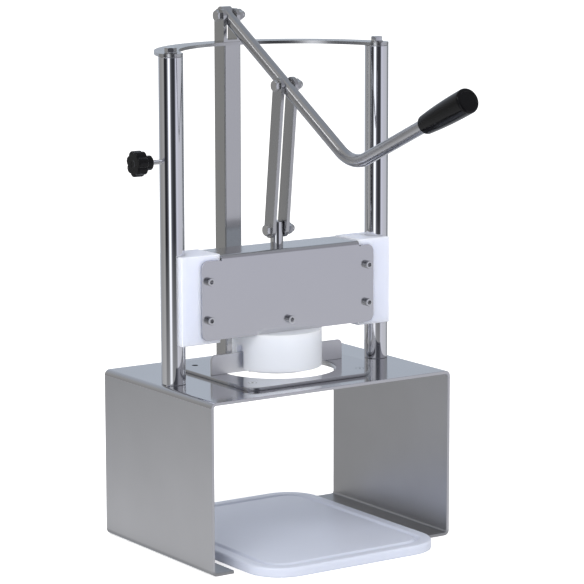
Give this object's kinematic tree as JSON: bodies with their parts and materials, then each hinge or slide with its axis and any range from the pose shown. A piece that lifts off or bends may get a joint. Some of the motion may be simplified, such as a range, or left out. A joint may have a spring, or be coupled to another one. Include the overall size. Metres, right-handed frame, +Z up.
{
  "type": "pineapple peeler",
  "caption": "Bench-top hand-lever press: a sliding head on guide columns drives a pineapple through a ring knife and a core knife over a bridge-shaped steel base.",
  "frame": {"origin": "on the bench, straight below the centre of the ring knife", "axes": "+Z up, +Y to the back where the mast stands, +X to the operator's right"},
  "size_m": [0.3835, 0.5392, 0.6601],
  "materials": {
    "sheet_steel": "brushed stainless sheet, soft satin with faint blotches",
    "plate_steel": "smooth stainless plate, nearly a mirror",
    "head_steel": "fine satin stainless sheet",
    "knife_steel": "ground stainless with a polished edge",
    "column_steel": "mirror polished stainless bar",
    "mast_steel": "satin stainless, brushed along its length",
    "link_steel": "satin stainless flat bar",
    "lever_steel": "satin stainless round bar",
    "stud_steel": "polished stainless",
    "fastener_steel": "bright stainless fasteners",
    "plug_steel": "plain machined steel",
    "white_plastic": "milky white polyethylene, machined",
    "board_plastic": "white polyethylene board, soft sheen",
    "grip_plastic": "glossy black plastic",
    "knob_plastic": "satin black plastic"
  },
  "bodies": {
    "frame": {"base_frame": "sheet_steel", "cutter_plate": "plate_steel", "cutter_plate_screws": "fastener_steel", "ring_knife": "knife_steel", "core_knife": "knife_steel", "splitter_blade_left": "knife_steel", "splitter_blade_right": "knife_steel", "left_column": "column_steel", "right_column": "column_steel", "column_foot_washers": "fastener_steel", "column_foot_bolts": "fastener_steel", "arch_plate": "mast_steel", "arch_washers": "fastener_steel", "arch_bolts": "fastener_steel", "mast": "mast_steel", "mast_foot_plug": "plug_steel", "mast_top_plug": "plug_steel", "mast_foot_washer": "fastener_steel", "mast_foot_bolt": "fastener_steel", "lever_fork": "mast_steel", "fork_screw": "fastener_steel", "lever_pivot_washer": "fastener_steel", "lever_pivot_bolt": "fastener_steel", "lever_pivot_nut": "fastener_steel"},
    "lever": {"lever_rod": "lever_steel", "lever_grip": "grip_plastic", "link_pin_bolt": "fastener_steel", "link_pin_nut": "fastener_steel"},
    "links": {"link_left": "link_steel", "link_right": "link_steel", "link_foot_washer": "fastener_steel", "link_foot_bolt": "fastener_steel", "link_foot_nut": "fastener_steel"},
    "head": {"head_channel": "head_steel", "guide_block_left": "white_plastic", "guide_block_right": "white_plastic", "pusher": "white_plastic", "head_stud": "stud_steel", "stud_washer": "fastener_steel", "stud_nut": "fastener_steel", "head_screws_front": "fastener_steel", "head_screws_rear": "fastener_steel"},
    "lock": {"lock_screw": "stud_steel", "lock_knob": "knob_plastic"},
    "board": {"catch_board": "board_plastic"}
  },
  "joints": [
    {"name": "lever_pivot", "type": "hinge", "parent": "frame", "child": "lever", "pos_m": [0, 0.111, 0.649], "axis": [-1, 0, 0], "range_deg": [0, 61.44]},
    {"name": "head_slide", "type": "slide", "parent": "frame", "child": "head", "axis": [0, 0, 1], "range_m": [0, 0.1565]},
    {"name": "link_pin", "type": "hinge", "parent": "lever", "child": "links", "pos_m": [0, -0.02053, 0.57084], "axis": [-1, 0, 0], "range_deg": [-61.54, 0]},
    {"name": "lock_turn", "type": "hinge", "parent": "frame", "child": "lock", "pos_m": [-0.167, 0, 0.486], "axis": [1, 0, 0], "continuous": true},
    {"name": "board_slide", "type": "slide", "parent": "frame", "child": "board", "axis": [0, -1, 0], "range_m": [0, 0.2]}
  ],
  "couplings": [
    {"joint": "head_slide", "follows": "lever_pivot", "m_per_rad": 0.14577},
    {"joint": "link_pin", "follows": "lever_pivot", "ratio": -1}
  ]
}
